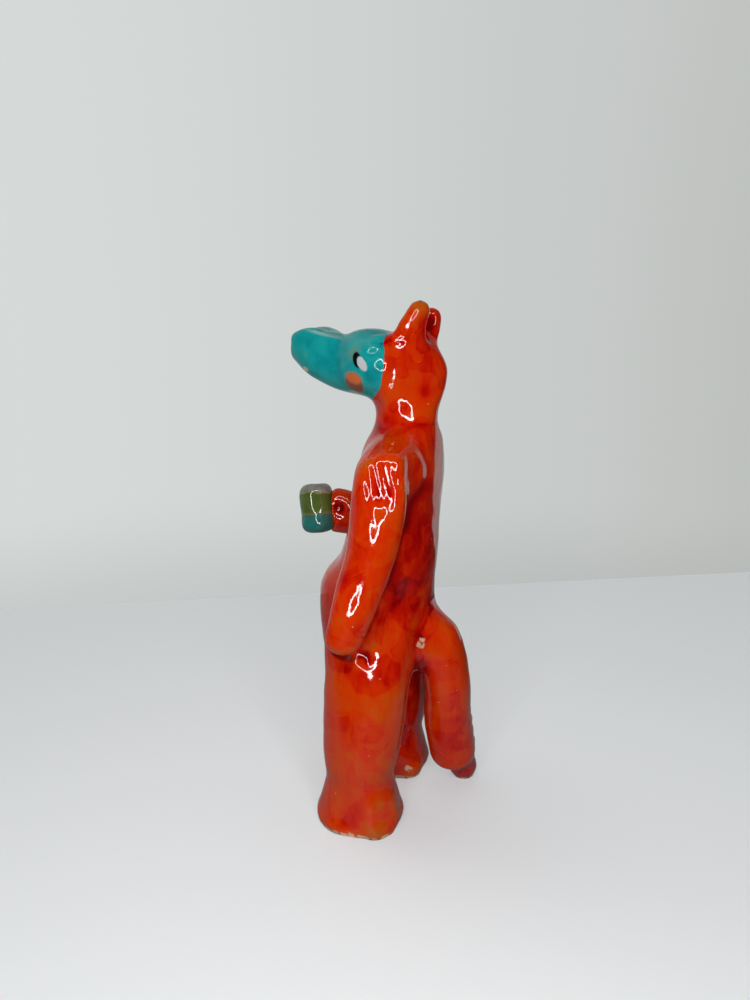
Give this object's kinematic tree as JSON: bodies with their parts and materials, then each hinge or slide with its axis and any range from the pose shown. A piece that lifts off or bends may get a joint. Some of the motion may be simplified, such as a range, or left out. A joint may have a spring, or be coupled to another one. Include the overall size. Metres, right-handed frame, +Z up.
{
  "type": "crocodile figurine",
  "caption": "Hand-built glazed ceramic crocodile standing upright in a red hooded suit with round ears, holding a small banded cup in front; rests on its feet and tail.",
  "frame": {"origin": "middle of the footprint's bounding box, on the table under the soles", "axes": "+Z up along the standing height; the snout and the cup point to -Y and the figure's left hand is on +X"},
  "size_m": [0.0934, 0.0892, 0.2201],
  "materials": {
    "suit_glaze": "glossy brushed glaze, orange where thin and deep red where it pools",
    "face_glaze": "glossy teal glaze with a painted eye and an orange cheek",
    "cup_glaze": "glossy glaze in bands, teal below, green in the middle and grey on top"
  },
  "bodies": {
    "root": {"torso": "suit_glaze", "left_leg": "suit_glaze", "right_leg": "suit_glaze", "left_foot": "suit_glaze", "right_foot": "suit_glaze", "tail": "suit_glaze", "hood": "suit_glaze", "face": "face_glaze", "left_ear": "suit_glaze", "right_ear": "suit_glaze", "left_arm": "suit_glaze", "right_arm": "suit_glaze", "cup": "cup_glaze"}
  },
  "joints": []
}
